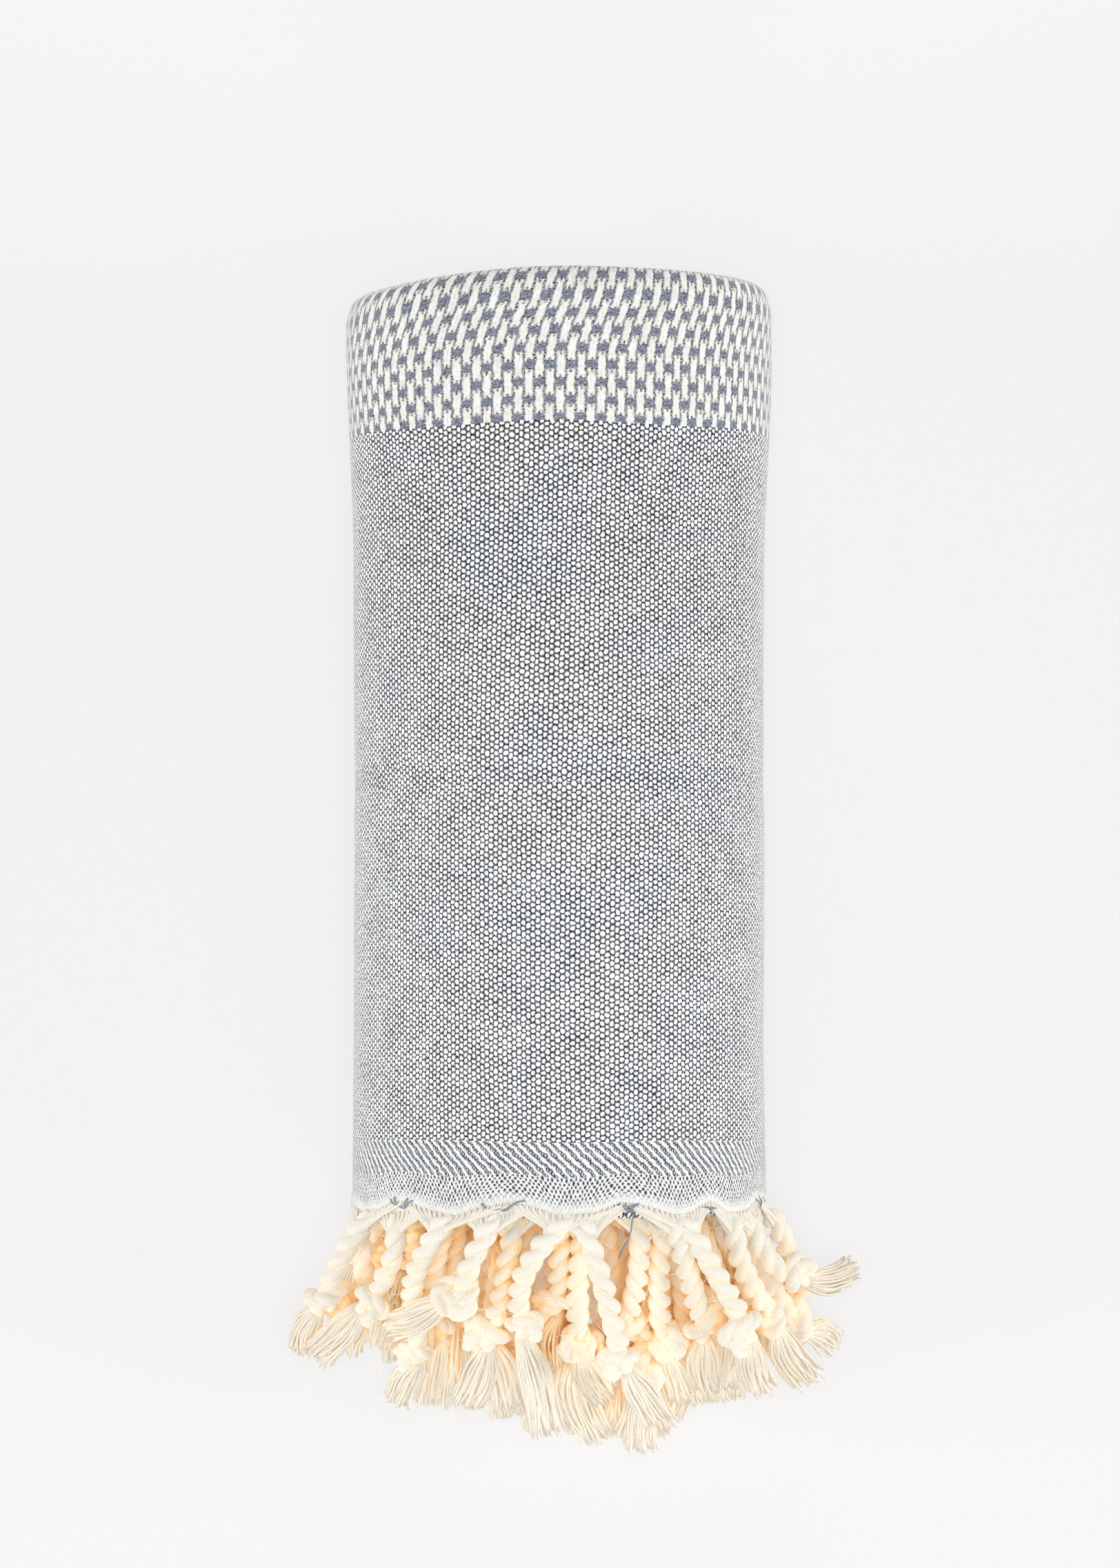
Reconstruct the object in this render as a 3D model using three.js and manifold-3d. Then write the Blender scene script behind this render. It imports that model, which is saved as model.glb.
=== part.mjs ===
import * as THREE from 'three';
import { mergeVertices } from 'three/addons/utils/BufferGeometryUtils.js';
import Module from 'manifold-3d';

// A flat-woven cotton beach towel, 1000 x 1800 mm, folded in half three times across its length and
// then rolled up across its width. Millimetres, +Z up. The roll lies along Y on the plane Z = 0, with
// its folded end towards +Y and the knotted fringe of both towel ends towards -Y. The origin is in the
// middle of the flat spot that the roll lies on.

const wasm = await Module();
wasm.setup();

// The folded stack
const panelLength = 225;
const stackThickness = 7.5;
const turnPitch = 8.05;
const stepAngle = 15;
const windingSteps = 135;
const looseEndAngle = 202.5;
const coreRadius = 6;

// The roll as it lies
const axisHeight = 49.7;
const axisX = -2;
const heightShare = 0.93;
const foldEnd = panelLength / 2;
const fringeEnd = -panelLength / 2;

// Places along the roll: how thick it is there against its waist, and how full the stack is
const stations = [
  { along: -112.5, girth: 1.01, fullness: 0.85 },
  { along: -109, girth: 1.008, fullness: 1 },
  { along: -30, girth: 1.0, fullness: 1 },
  { along: 58, girth: 1.006, fullness: 1 },
  { along: 108.5, girth: 1.03, fullness: 1 },
];

// The fold closes the stack's far end with a half round: angles on it, from the outside in
const foldAngles = [62, 22, -22, -62];

// The fringe: each tassel is a cord of twisted warp ends, a knot and a loose tail. Deep in the heap,
// from one number on, the tassels of the two towel ends lie on each other and each pair is one tooth.
const solidGap = 0.3;
const spineDepth = 3.6;
const spineThickness = 2;
const tasselsPerEnd = 32;
const firstPairedTassel = 17;
const tasselSpacing = 31;
const cordRadius = 2.5;
const knotRadius = 4.1;
const tailRadius = 3.1;
const tipRadius = 2.2;
const buriedShare = 0.74;
const knotReach = 34;
const tipReach = 58;
const knotFall = 0.3;
const tipFall = 0.52;
const sideSpread = 0.22;

// Tassels that lie on top of the heap, where each one was laid: the towel end that it belongs to, its
// number along the winding from the loose end, degrees that its root sits off its even place, then X
// and the distance from the hem for its knot and its tip, how far its cord bows to +X, and its lift
const laidTassels = [
  { end: 'outer', number: 4, slide: -8, knotX: 52, knotOut: 27, tipX: 62, tipOut: 45, bow: -4, lift: 0 },
  { end: 'outer', number: 5, slide: 5, knotX: 46, knotOut: 30, tipX: 50, tipOut: 47, bow: 1, lift: 0 },
  { end: 'outer', number: 6, slide: 7, knotX: -10, knotOut: 29, tipX: -3, tipOut: 57, bow: -4, lift: 0 },
  { end: 'outer', number: 7, slide: 7, knotX: -33, knotOut: 36, tipX: -41, tipOut: 48, bow: -2, lift: -3 },
  { end: 'outer', number: 8, slide: -1, knotX: -58, knotOut: 23, tipX: -64, tipOut: 36, bow: -1, lift: 0 },
  { end: 'inner', number: 4, slide: 15, knotX: 57, knotOut: 21, tipX: 72, tipOut: 17, bow: 2, lift: 2 },
  { end: 'inner', number: 5, slide: 9, knotX: 16, knotOut: 29, tipX: 8, tipOut: 43, bow: 6, lift: -3 },
  { end: 'inner', number: 6, slide: 29, knotX: 15, knotOut: 38, tipX: 25, tipOut: 53, bow: 1, lift: 3 },
  { end: 'inner', number: 7, slide: 41, knotX: -24, knotOut: 22, tipX: -43, tipOut: 30, bow: -1, lift: 3 },
  { end: 'inner', number: 8, slide: 32, knotX: -48, knotOut: 25, tipX: -62, tipOut: 38, bow: 3, lift: 2 },
  { end: 'outer', number: 13, slide: -9, knotX: 56, knotOut: 25, tipX: 70, tipOut: 34, bow: 0, lift: 0 },
  { end: 'outer', number: 14, slide: -15, knotX: 25, knotOut: 33, tipX: 31, tipOut: 49, bow: -2, lift: 0 },
  { end: 'outer', number: 15, slide: -5, knotX: 0, knotOut: 23, tipX: -1, tipOut: 39, bow: 0, lift: 0 },
  { end: 'outer', number: 16, slide: -15, knotX: -37, knotOut: 14, tipX: -41, tipOut: 26, bow: 0, lift: -4 },
  { end: 'inner', number: 14, slide: 8, knotX: 35, knotOut: 29, tipX: 38, tipOut: 47, bow: 0, lift: -2 },
  { end: 'inner', number: 15, slide: 21, knotX: 4, knotOut: 33, tipX: 12, tipOut: 49, bow: -2, lift: 0 },
  { end: 'inner', number: 16, slide: 41, knotX: -17, knotOut: 31, tipX: -26, tipOut: 49, bow: 1, lift: 0 },
];

const towelMaterial = new THREE.MeshStandardMaterial({ color: 0xdcdcdb, roughness: 0.9, metalness: 0 });
const fringeMaterial = new THREE.MeshStandardMaterial({ color: 0xf6ead6, roughness: 0.92, metalness: 0 });

const radians = THREE.MathUtils.degToRad;
const blend = THREE.MathUtils.lerp;

// Middle radius of the stack at a winding angle counted back from the loose end, in degrees
function windingRadius(back) {
  return coreRadius + (turnPitch * (windingSteps * stepAngle - back)) / 360;
}

// How much the roll is thickened at a place along it
function girthAt(along) {
  const last = stations.length - 1;
  if (along <= stations[0].along) {
    return stations[0].girth;
  }
  for (let i = 0; i < last; i += 1) {
    if (along <= stations[i + 1].along) {
      const share = (along - stations[i].along) / (stations[i + 1].along - stations[i].along);
      return blend(stations[i].girth, stations[i + 1].girth, share);
    }
  }
  return stations[last].girth;
}

// The turns do not end quite level: how far a turn stands out of the roll's fringe end or folded end
function endUnevenness(back) {
  return 0.9 * Math.sin(radians(back * 0.31 + 40)) * Math.min(1, back / 300);
}

// A point of the roll: winding angle back from the loose end, offset from the middle of the stack
// outwards, and place along the roll. The roll is a little wider than high. Where it lies, its
// outermost turn is pressed flat at Z = 0 and the turns inside follow at their own distances.
function rollPoint(back, offset, along) {
  const angle = radians(looseEndAngle - back);
  const girth = girthAt(along);
  const radius = (windingRadius(back) + offset) * girth;
  const outermost = (windingRadius(back % 360) + stackThickness / 2) * girth;
  const lowest = heightShare * (outermost - radius) - axisHeight;
  const height = Math.max(heightShare * radius * Math.cos(angle), lowest);
  return new THREE.Vector3(axisX + radius * Math.sin(angle), along, axisHeight + height);
}

// Rings of points with the same number of corners, joined into one closed body. The first and the
// last ring are closed by a ladder of faces between their two halves.
function loft(rings) {
  const around = rings[0].length;
  const positions = rings.flat().flatMap((point) => point.toArray());
  const index = [];
  for (let ring = 0; ring < rings.length - 1; ring += 1) {
    for (let side = 0; side < around; side += 1) {
      const here = ring * around + side;
      const beside = ring * around + ((side + 1) % around);
      index.push(here, beside, beside + around);
      index.push(here, beside + around, here + around);
    }
  }
  const end = (rings.length - 1) * around;
  for (let rung = 0; rung < around / 2 - 1; rung += 1) {
    const across = around - 1 - rung;
    index.push(rung, across, across - 1);
    index.push(rung, across - 1, rung + 1);
    index.push(end + rung, end + across - 1, end + across);
    index.push(end + rung, end + rung + 1, end + across - 1);
  }
  return closedGeometry(positions, index);
}

// A geometry from points and corners, turned the right way out
function closedGeometry(positions, index) {
  const corner = (i) => new THREE.Vector3().fromArray(positions, index[i] * 3);
  let volume = 0;
  for (let i = 0; i < index.length; i += 3) {
    volume += corner(i).dot(corner(i + 1).cross(corner(i + 2)));
  }
  const outward = volume > 0 ? index : [...index].reverse();
  const geometry = new THREE.BufferGeometry();
  geometry.setAttribute('position', new THREE.Float32BufferAttribute(positions, 3));
  geometry.setIndex(outward);
  return geometry;
}

function toManifold(geometry) {
  const bare = geometry.clone();
  bare.deleteAttribute('normal');
  bare.deleteAttribute('uv');
  const merged = mergeVertices(bare, 1e-4);
  const vertProperties = new Float32Array(merged.attributes.position.array);
  const triVerts = new Uint32Array(merged.index.array);
  return new wasm.Manifold(new wasm.Mesh({ numProp: 3, vertProperties, triVerts }));
}

function fromManifold(solid) {
  const mesh = solid.getMesh();
  const geometry = new THREE.BufferGeometry();
  geometry.setAttribute('position', new THREE.Float32BufferAttribute(mesh.vertProperties, 3));
  geometry.setIndex(Array.from(mesh.triVerts));
  return geometry;
}

// The section of the folded stack at one winding angle: its outer side from the fringe end to the
// fold, the half round of the fold, and its inner side back again
function stackSection(back) {
  const shift = endUnevenness(back);
  const half = stackThickness / 2;
  const outerSide = stations.map((place) => {
    return rollPoint(back, half * place.fullness, place.along + shift);
  });
  const foldRound = foldAngles.map((angle) => {
    const out = half * Math.cos(radians(angle));
    return rollPoint(back, half * Math.sin(radians(angle)), foldEnd - half + out + shift);
  });
  const innerSide = stations.map((place) => {
    return rollPoint(back, -half * place.fullness, place.along + shift);
  });
  return [...outerSide, ...foldRound, ...innerSide.reverse()];
}

function makeTowel() {
  const rings = [];
  for (let step = 0; step <= windingSteps; step += 1) {
    rings.push(stackSection(step * stepAngle));
  }
  return loft(rings);
}

// The comb's spine: a strip in front of the two outer layers of the stack, all along the winding
function spine() {
  const rings = [];
  const outside = stackThickness / 2;
  const inside = outside - spineThickness;
  for (let back = stepAngle / 2; back < (windingSteps - 2) * stepAngle; back += stepAngle * 2) {
    const near = fringeEnd - solidGap + endUnevenness(back);
    const far = near - spineDepth;
    const corners = [[outside, near], [outside, far], [inside, far], [inside, near]];
    rings.push(corners.map(([offset, along]) => rollPoint(back, offset, along)));
  }
  return loft(rings);
}

// Winding angle back from the loose end at which a length of edge has been used up
function angleAtLength(length) {
  let back = 0;
  let used = 0;
  while (used < length) {
    used += radians(1) * windingRadius(back);
    back += 1;
  }
  return back;
}

// A steady spread of values between -1 and 1, the same in every build
function scatter(number, salt) {
  const wave = Math.sin(number * 12.9898 + salt * 78.233) * 43758.5453;
  return 2 * (wave - Math.floor(wave)) - 1;
}

// The route of a tassel, from its root in the spine over its knot to its tip, with a radius for each
// point. A tassel falls by a share of its root's height, and nothing goes below the plane it lies on.
// Those buried in the heap are pressed slimmer, and keep their even places.
function tasselRoute(end, number) {
  const laid = laidTassels.find((row) => row.end === end && row.number === number);
  const start = end === 'outer' ? 3 : 3 + tasselSpacing / 2;
  const back = angleAtLength(start + number * tasselSpacing) - (laid ? laid.slide : 0);
  const inset = end === 'outer' ? 0.9 : 1.9;
  const root = rollPoint(back, stackThickness / 2 - inset, fringeEnd);
  const place = laid || buriedPlace(root, number, end.length);
  const knotZ = root.z * (1 - knotFall) + place.lift;
  const tipZ = root.z * (1 - tipFall) + place.lift;
  const thinning = laid ? 1 : buriedShare;
  const alongCord = (share, bend, out, radius) => ({
    x: blend(root.x, place.knotX, share) + bend * place.bow,
    out: out,
    z: blend(root.z, knotZ, share * share),
    radius: radius * thinning,
  });
  const alongTail = (share, radius) => ({
    x: blend(place.knotX, place.tipX, share),
    out: blend(place.knotOut, place.tipOut, share),
    z: blend(knotZ, tipZ, share),
    radius: radius * thinning,
  });
  const points = [
    alongCord(0, 0, 2.4, spineThickness),
    alongCord(0.14, 0, 7, cordRadius),
    alongCord(0.5, 1, place.knotOut * 0.5, cordRadius),
    alongCord(0.86, 0.4, place.knotOut * 0.84, cordRadius),
    alongTail(0, knotRadius),
    alongTail(0.28, cordRadius),
    alongTail(0.65, tailRadius),
    alongTail(1, tipRadius),
  ];
  return points.filter((point, i) => laid || (i !== 3 && i !== 5)).map((point) => ({
    centre: new THREE.Vector3(point.x, fringeEnd - point.out, Math.max(point.z, point.radius)),
    radius: point.radius,
    sides: laid ? 6 : 4,
  }));
}

function buriedPlace(root, number, salt) {
  const knotOut = knotReach + 6 * scatter(number, salt);
  return {
    knotX: root.x * (1 + sideSpread),
    knotOut: knotOut,
    tipX: root.x * (1 + 1.6 * sideSpread) + scatter(number, salt + 1),
    tipOut: knotOut + tipReach - knotReach + 4 * scatter(number, salt + 2),
    bow: 0,
    lift: -2,
  };
}

function tasselSolid(route) {
  const sides = route[0].sides;
  const rings = route.map((place, i) => {
    const before = route[Math.max(i - 1, 0)].centre;
    const after = route[Math.min(i + 1, route.length - 1)].centre;
    const heading = after.clone().sub(before).normalize();
    const across = new THREE.Vector3(0, 0, 1).cross(heading).normalize();
    const upward = heading.clone().cross(across);
    const ring = [];
    for (let side = 0; side < sides; side += 1) {
      const angle = radians((360 / sides) * (side + 0.5));
      const corner = place.centre.clone();
      corner.addScaledVector(across, place.radius * Math.cos(angle));
      corner.addScaledVector(upward, place.radius * Math.sin(angle));
      ring.push(corner);
    }
    return ring;
  });
  return toManifold(loft(rings));
}

function makeFringe() {
  let comb = toManifold(spine());
  for (let number = 0; number < tasselsPerEnd; number += 1) {
    comb = comb.add(tasselSolid(tasselRoute('outer', number)));
    if (number < firstPairedTassel) {
      comb = comb.add(tasselSolid(tasselRoute('inner', number)));
    }
  }
  return fromManifold(comb);
}

function namedMesh(name, geometry, material) {
  const mesh = new THREE.Mesh(geometry, material);
  mesh.name = name;
  return mesh;
}

const beachTowel = new THREE.Group();
beachTowel.add(namedMesh('towel', makeTowel(), towelMaterial));
beachTowel.add(namedMesh('fringe', makeFringe(), fringeMaterial));

export default beachTowel;
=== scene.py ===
import functools
import math
import bpy
import numpy as np
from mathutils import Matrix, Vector


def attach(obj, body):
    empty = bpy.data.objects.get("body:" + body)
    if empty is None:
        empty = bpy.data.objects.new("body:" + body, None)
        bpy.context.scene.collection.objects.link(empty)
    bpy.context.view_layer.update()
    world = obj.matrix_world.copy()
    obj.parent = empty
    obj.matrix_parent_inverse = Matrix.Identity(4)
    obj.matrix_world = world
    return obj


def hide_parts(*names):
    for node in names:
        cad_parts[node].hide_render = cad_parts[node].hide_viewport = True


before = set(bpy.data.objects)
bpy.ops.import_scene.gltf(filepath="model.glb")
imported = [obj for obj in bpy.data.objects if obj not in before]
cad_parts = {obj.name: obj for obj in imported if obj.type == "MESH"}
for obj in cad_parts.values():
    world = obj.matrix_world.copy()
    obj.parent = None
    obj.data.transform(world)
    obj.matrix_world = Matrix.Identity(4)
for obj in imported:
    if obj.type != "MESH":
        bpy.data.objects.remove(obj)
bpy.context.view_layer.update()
mm = 0.001
print("frame loaded")


def toLinear(hexText):
    parts = [int(hexText[i:i + 2], 16) / 255 for i in (1, 3, 5)]
    return tuple(p / 12.92 if p <= 0.04045 else ((p + 0.055) / 1.055) ** 2.4 for p in parts) + (1.0,)


# the setting that the second word of a kind stands for
mainSetting = {
    "VectorMath": "operation", "MapRange": "interpolation_type", "Mix": "data_type",
    "TexNoise": "noise_dimensions", "TexWhiteNoise": "noise_dimensions",
}


def addNode(tree, kind, inputs=(), stops=(), **settings):
    # inputs go in order or by name, a node stands for its first output and a hex text for its colour;
    # a kind in capitals is an operation of the math node
    kind, _, choice = kind.partition(" ")
    if kind.isupper():
        kind, settings["operation"] = "Math", kind
    if choice:
        settings[mainSetting[kind]] = choice
    node = tree.nodes.new("ShaderNode" + kind)
    for name, value in settings.items():
        setattr(node, name, value)
    if stops:
        elements = node.color_ramp.elements
        while len(elements) < len(stops):
            elements.new(0.5)
        for element, (position, value) in zip(elements, stops):
            element.position = position
            element.color = toLinear(value) if isinstance(value, str) else (value, value, value, 1)
    shown = [socket for socket in node.inputs if socket.enabled]
    for key, value in inputs.items() if isinstance(inputs, dict) else enumerate(inputs):
        socket = node.inputs[key] if isinstance(key, str) else shown[key]
        if isinstance(value, bpy.types.Node):
            value = next(out for out in value.outputs if out.enabled)
        elif isinstance(value, str):
            value = toLinear(value)
        if isinstance(value, bpy.types.NodeSocket):
            tree.links.new(value, socket)
        else:
            socket.default_value = value
    return node


def newMaterial(name):
    material = bpy.data.materials.new(name)
    material.use_nodes = True
    material.node_tree.nodes.clear()
    return material, functools.partial(addNode, material.node_tree)


# above the fringed half, tipped two degrees, as a flat lay is taken
cameraView = {"footY": -62.1, "aimY": -8.9, "x": 0.25, "height": 1579.7, "aimHeight": 49.7, "lens": 142.5}
aim = np.array([cameraView["x"], cameraView["aimY"], cameraView["aimHeight"]])
eye = np.array([cameraView["x"], cameraView["footY"], cameraView["height"]])
tip = math.atan2(aim[1] - eye[1], eye[2] - aim[2])
bpy.ops.object.camera_add(location=eye * mm, rotation=(tip, 0, 0))
camera = bpy.context.object
camera.data.lens = cameraView["lens"]
camera.data.clip_start = 0.05
bpy.context.scene.camera = camera

# how the folded stack is wound and how the roll lies, in millimetres
roll = {
    "panelLength": 225, "layerPitch": 0.94, "clothThickness": 0.8, "stackThickness": 7.5, "turnPitch": 8.05,
    "windingAngle": 2025, "looseEndAngle": 202.5, "looseEndSteps": 13, "looseEndRadius": 55, "coreRadius": 6,
    "axisX": -2, "axisHeight": 50.06, "heightShare": 0.93, "flatSoftness": 0.5, "foldLength": 2.3,
    "checkGirth": 0.043, "hemGirth": 0.01, "endSway": 0.9, "foldSlant": (1.6, 3.4),
    "outerStep": 3.6, "innerStep": 8.7,  # degrees between the rows of the mesh, in the outer turn and inside
}
foldEnd = roll["panelLength"] / 2
fringeEnd = -roll["panelLength"] / 2
halfStack = roll["stackThickness"] / 2


def easeIn(value, low, high):  # 0 below low, 1 above high, smooth between
    t = np.clip((np.asarray(value, float) - low) / (high - low), 0, 1)
    return t * t * (3 - 2 * t)


def windingRadius(back):
    return roll["coreRadius"] + roll["turnPitch"] * (roll["windingAngle"] - back) / 360


def girthAt(along):  # the thick check band fills the roll out at its folded end, and the hem a little
    return 1 + roll["checkGirth"] * easeIn(along, 44, 100) + roll["hemGirth"] * easeIn(-along, 60, 112)


def endUnevenness(back):
    return roll["endSway"] * np.sin(np.radians(back * 0.31 + 40)) * np.minimum(1, back / 300)


def foldSlant(back):  # the folded end was pulled a little askew as it was rolled
    out, drop = roll["foldSlant"]
    return out - drop * easeIn(back, 195, 275)


def rollPoint(back, offset, along):  # back is the winding angle in degrees, counted from the loose end
    angle = np.radians(roll["looseEndAngle"] - back)
    girth = girthAt(along)
    radius = (windingRadius(back) + offset) * girth
    outermost = (windingRadius(np.mod(back, 360)) + halfStack) * girth
    lowest = roll["heightShare"] * (outermost - radius) - roll["axisHeight"]
    height = roll["heightShare"] * radius * np.cos(angle)
    apart = np.sqrt((height - lowest) ** 2 + roll["flatSoftness"] ** 2)
    height = (height + lowest + apart) / 2
    x = roll["axisX"] + radius * np.sin(angle)
    return np.stack([x, along + 0 * x, roll["axisHeight"] + height], axis=-1)


# where each tassel leaves the hem, and where those on top of the heap were laid
tassels = {
    "perEnd": 32, "spacing": 31, "firstRoot": 3, "knotFall": 0.24, "tipFall": 0.48, "sideSpread": 0.2,
    "tipReach": 60, "tailReach": 20, "lowest": 2.6,
}
# end, number from the loose end, degrees off its even place, knot x and distance from the hem,
# tip x and distance, bow of the cord to +x, lift
laidColumns = ("slide", "knotX", "knotOut", "tipX", "tipOut", "bow", "lift")
laidTassels = {row[:2]: dict(zip(laidColumns, row[2:])) for row in (
    ("outer", 4, 2, 52, 27, 62, 44, -3, 2),
    ("outer", 5, 18.5, 46, 29, 50, 46, 0, 4),
    ("outer", 6, 25, -10, 27, -3, 56, -5, 4),
    ("outer", 7, 29.5, -33, 36, -40, 49, -7, -16),
    ("outer", 8, 34, -58, 23, -64, 36, -1, 4),
    ("inner", 3, -6, 57, 20, 72, 16, -2, 8),
    ("inner", 4, -2, 35, 29, 37, 46, 0, -1),
    ("inner", 5, 8.5, 15, 37, 24, 52, 1, 6),
    ("inner", 6, 24, -23, 21, -42, 29, -2, 14),
    ("inner", 7, 26.5, -46, 23, -60, 37, 3, 6),
    ("inner", 8, 28, -47, 26, -52, 36, 0, 10),
    ("outer", 13, -13.5, 25, 33, 30, 48, -1, -1),
    ("outer", 14, 4, 4, 33, 11, 48, -1, 0),
    ("outer", 15, 28, -16, 31, -23, 49, 0, 4),
    ("inner", 12, 15.5, 58, 30, 69, 36, 0, -6),
    ("inner", 13, 0, 16, 30, 12, 43, 2, -1),
    ("inner", 14, 19, 0, 23, -1, 38, 0, 6),
    ("inner", 15, 9, -36, 13, -40, 24, 0, -2),
)}
endOffset = {"outer": halfStack - 0.45, "inner": halfStack - 1.4}  # the two outer layers of the stack
fineBack = np.arange(0, roll["windingAngle"] + 1.0)
edgeLength, outerLength = (
    np.concatenate([[0], np.cumsum(np.radians(1) * (windingRadius(fineBack[:-1]) + outside))])
    for outside in (0, halfStack)
)


def rootAngle(end, number):
    laid = laidTassels.get((end, number))
    start = tassels["firstRoot"] + (0 if end == "outer" else tassels["spacing"] / 2)
    back = np.interp(start + number * tassels["spacing"], edgeLength, fineBack)
    return back - (laid["slide"] if laid else 0), laid


def rootLengths(end):  # places of this end's tassels along the hem, measured on the outside of the roll
    backs = sorted(rootAngle(end, n)[0] for n in range(tassels["perEnd"]))
    return np.interp(backs, fineBack, outerLength)


def betweenTassels(length, end):  # 0 at a tassel, 1 at the next, and the distance between the two
    roots = rootLengths(end)
    spots = np.concatenate([[roots[0] - tassels["spacing"]], roots, [roots[-1] + tassels["spacing"]]])
    slot = np.clip(np.searchsorted(spots, length) - 1, 0, len(spots) - 2)
    gap = spots[slot + 1] - spots[slot]
    return (length - spots[slot]) / gap, gap


# "fullDepth" and "pullDepth" are how far from its end the cloth still shows the scallops and the pull
hem = {"scallop": 1.5, "tremble": 0.35, "fullDepth": 13, "pull": 0.32, "pullDepth": 10}


def hemEdge(length, end):  # the last weft is pulled out at each tassel and slips back between two
    phase, _ = betweenTassels(length, end)
    tremble = hem["tremble"] * np.sin(length * 0.9) * np.cos(length * 0.37)
    return -hem["scallop"] * np.cos(2 * np.pi * phase) + tremble


def hemLine(length, end):  # the winding angles and places along the roll of the hem at these lengths
    backs = np.interp(length, outerLength, fineBack)
    return backs, fringeEnd + endUnevenness(backs) + hemEdge(length, end)


# one sheet that runs eight times along the stack and is wound with it
layerOrder = (1, 8, 5, 4, 3, 6, 7, 2)  # place in the stack, 1 outermost, of each run from end to end
sheet = {
    "hemSteps": [0, 1.5, 3.5, 6, 9, 13], "freeStart": 18, "outerRows": 34, "innerRows": 4, "tuck": 1.4,
    "halfDepth": 3.3, "stepFade": 120, "foldOut": (1.6, 1.3), "wave": 0.22, "clearance": 0.04,
    "creaseAt": -9, "creaseWidth": 2.5, "creaseDepth": 1.15,
    # how the threads lean and drift in the cloth, and where the selvedge ends
    "lean": 0.30, "drift": 1.6, "selvedge": (1.0, 4.0),
}


def layerOffset(place):
    return (4.5 - place) * roll["layerPitch"]


hemOffset = {"outer": layerOffset(1), "inner": layerOffset(2)}


def runPlaces(run, reach):  # places along the roll of one run, dense at a hem
    hemmed = run in (0, len(layerOrder) - 1)
    start = fringeEnd if hemmed else fringeEnd + sheet["tuck"]
    rows = sheet["outerRows"] if run == 0 else sheet["innerRows"]
    steps = sheet["hemSteps"] if hemmed else [0]
    steps = steps + list(np.linspace(sheet["freeStart"], reach - start, rows))
    places = [start + step for step in steps]
    return places if run % 2 == 0 else places[::-1]


def sheetColumns():  # offset in the stack, place along the roll, length used and place in the stack
    columns = []
    used = 0.0
    reach = foldEnd - halfStack * roll["foldLength"]
    for run, place in enumerate(layerOrder):
        places = runPlaces(run, reach)
        for i, along in enumerate(places):
            if i:
                used += abs(along - places[i - 1])
            columns.append((layerOffset(place), along, used, place))
        if run == len(layerOrder) - 1:
            break
        # the fold to the next run, long and round at the folded end
        after = layerOrder[run + 1]
        middle = (layerOffset(place) + layerOffset(after)) / 2
        radius = abs(layerOffset(place) - layerOffset(after)) / 2
        side = 1 if layerOffset(place) > layerOffset(after) else -1
        way, stretch = (1, roll["foldLength"]) if run % 2 == 0 else (-1, 1)
        count = 3 + int(4 * math.sqrt(radius))
        step = math.pi * radius * (1 + stretch) / 2 / (count + 1)
        for i in range(1, count + 1):
            turn = math.pi * i / (count + 1)
            along = places[-1] + way * stretch * radius * math.sin(turn)
            used += step
            columns.append((middle + side * radius * math.cos(turn), along, used, (place + after) / 2))
        used += step
    return np.array(columns)


def clothPoints(backs, length, offset, along, used, place):
    # the layers end in steps at the loose edge, the outermost first
    reach = sheet["halfDepth"]
    spare = (offset + reach) / (2 * reach) * np.degrees(roll["looseEndSteps"] / roll["looseEndRadius"])
    back = backs + spare * (1 - easeIn(backs, 0, sheet["stepFade"]))
    shift = endUnevenness(back) + foldSlant(back) * easeIn(along, 60, 108)
    inHem = 0
    for end, away in (("outer", used), ("inner", used[-1] - used)):
        near = 1 - easeIn(away, 0, hem["fullDepth"])
        shift = shift + hemEdge(length, end) * near
        inHem = inHem + near
    # the folds of the inner layers stand out of the fringe end here and there
    foldOut = (along < fringeEnd + 3) & (inHem < 0.01)
    out, sway = sheet["foldOut"]
    shift = shift - foldOut * (out + sway * np.sin(np.radians(back * 1.1 + place * 70)))
    # slack of the cloth: broad waves, and a soft crease across the roll from lying folded
    wave = sheet["wave"] * np.sin(along * 0.045 + back * 0.021) * np.sin(along * 0.021 - back * 0.047 + 2)
    fromCrease = along - sheet["creaseAt"] + 2 * np.sin(np.radians(back) * 2)
    crease = np.exp(-(fromCrease / sheet["creaseWidth"]) ** 2)
    creaseShare = 0.4 + 0.6 * easeIn(np.cos(np.radians(back - 178)), 0.2, 1)
    lift = easeIn(offset, 0.0, 3.2) * (wave - sheet["creaseDepth"] * crease * creaseShare)
    points = rollPoint(back, offset + lift, along + shift)
    lowest = 0.5 * roll["clothThickness"] + sheet["clearance"]  # nothing sinks into the table
    points[..., 2] = np.maximum(points[..., 2], lowest)
    return points


def threadPlaces(length, along, used):
    # in millimetres: warp threads are counted along u, weft threads along v
    lengthMap, usedMap = length + 0 * used, used + 0 * length
    pull = 0
    for end, away in (("outer", used), ("inner", used[-1] - used)):
        phase, gap = betweenTassels(length, end)
        bunched = hem["pull"] * gap * np.sin(2 * np.pi * phase) / (2 * np.pi)
        pull = pull + bunched * (1 - easeIn(away, 0, hem["pullDepth"]))
    lean = sheet["lean"] * np.maximum(usedMap - 203, 0) * easeIn(usedMap, 200, 216)
    drift = sheet["drift"] * np.sin(lengthMap * 0.05 + 1) * np.sin(usedMap * 0.018 + 0.6)
    # the warp lies closer towards the hem, counted from the top of the roll
    fromTop = lengthMap - np.interp(roll["looseEndAngle"], fineBack, outerLength)
    closer = fromTop * (0.085 * easeIn(-along, -110, 110) - 0.02)
    u = lengthMap + pull + drift + lean + closer
    v = usedMap + 0.5 * np.sin(lengthMap * 0.11) * np.sin(usedMap * 0.03)
    return u, v, 1 - easeIn(lengthMap, *sheet["selvedge"])  # the last is 1 at the selvedge


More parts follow.
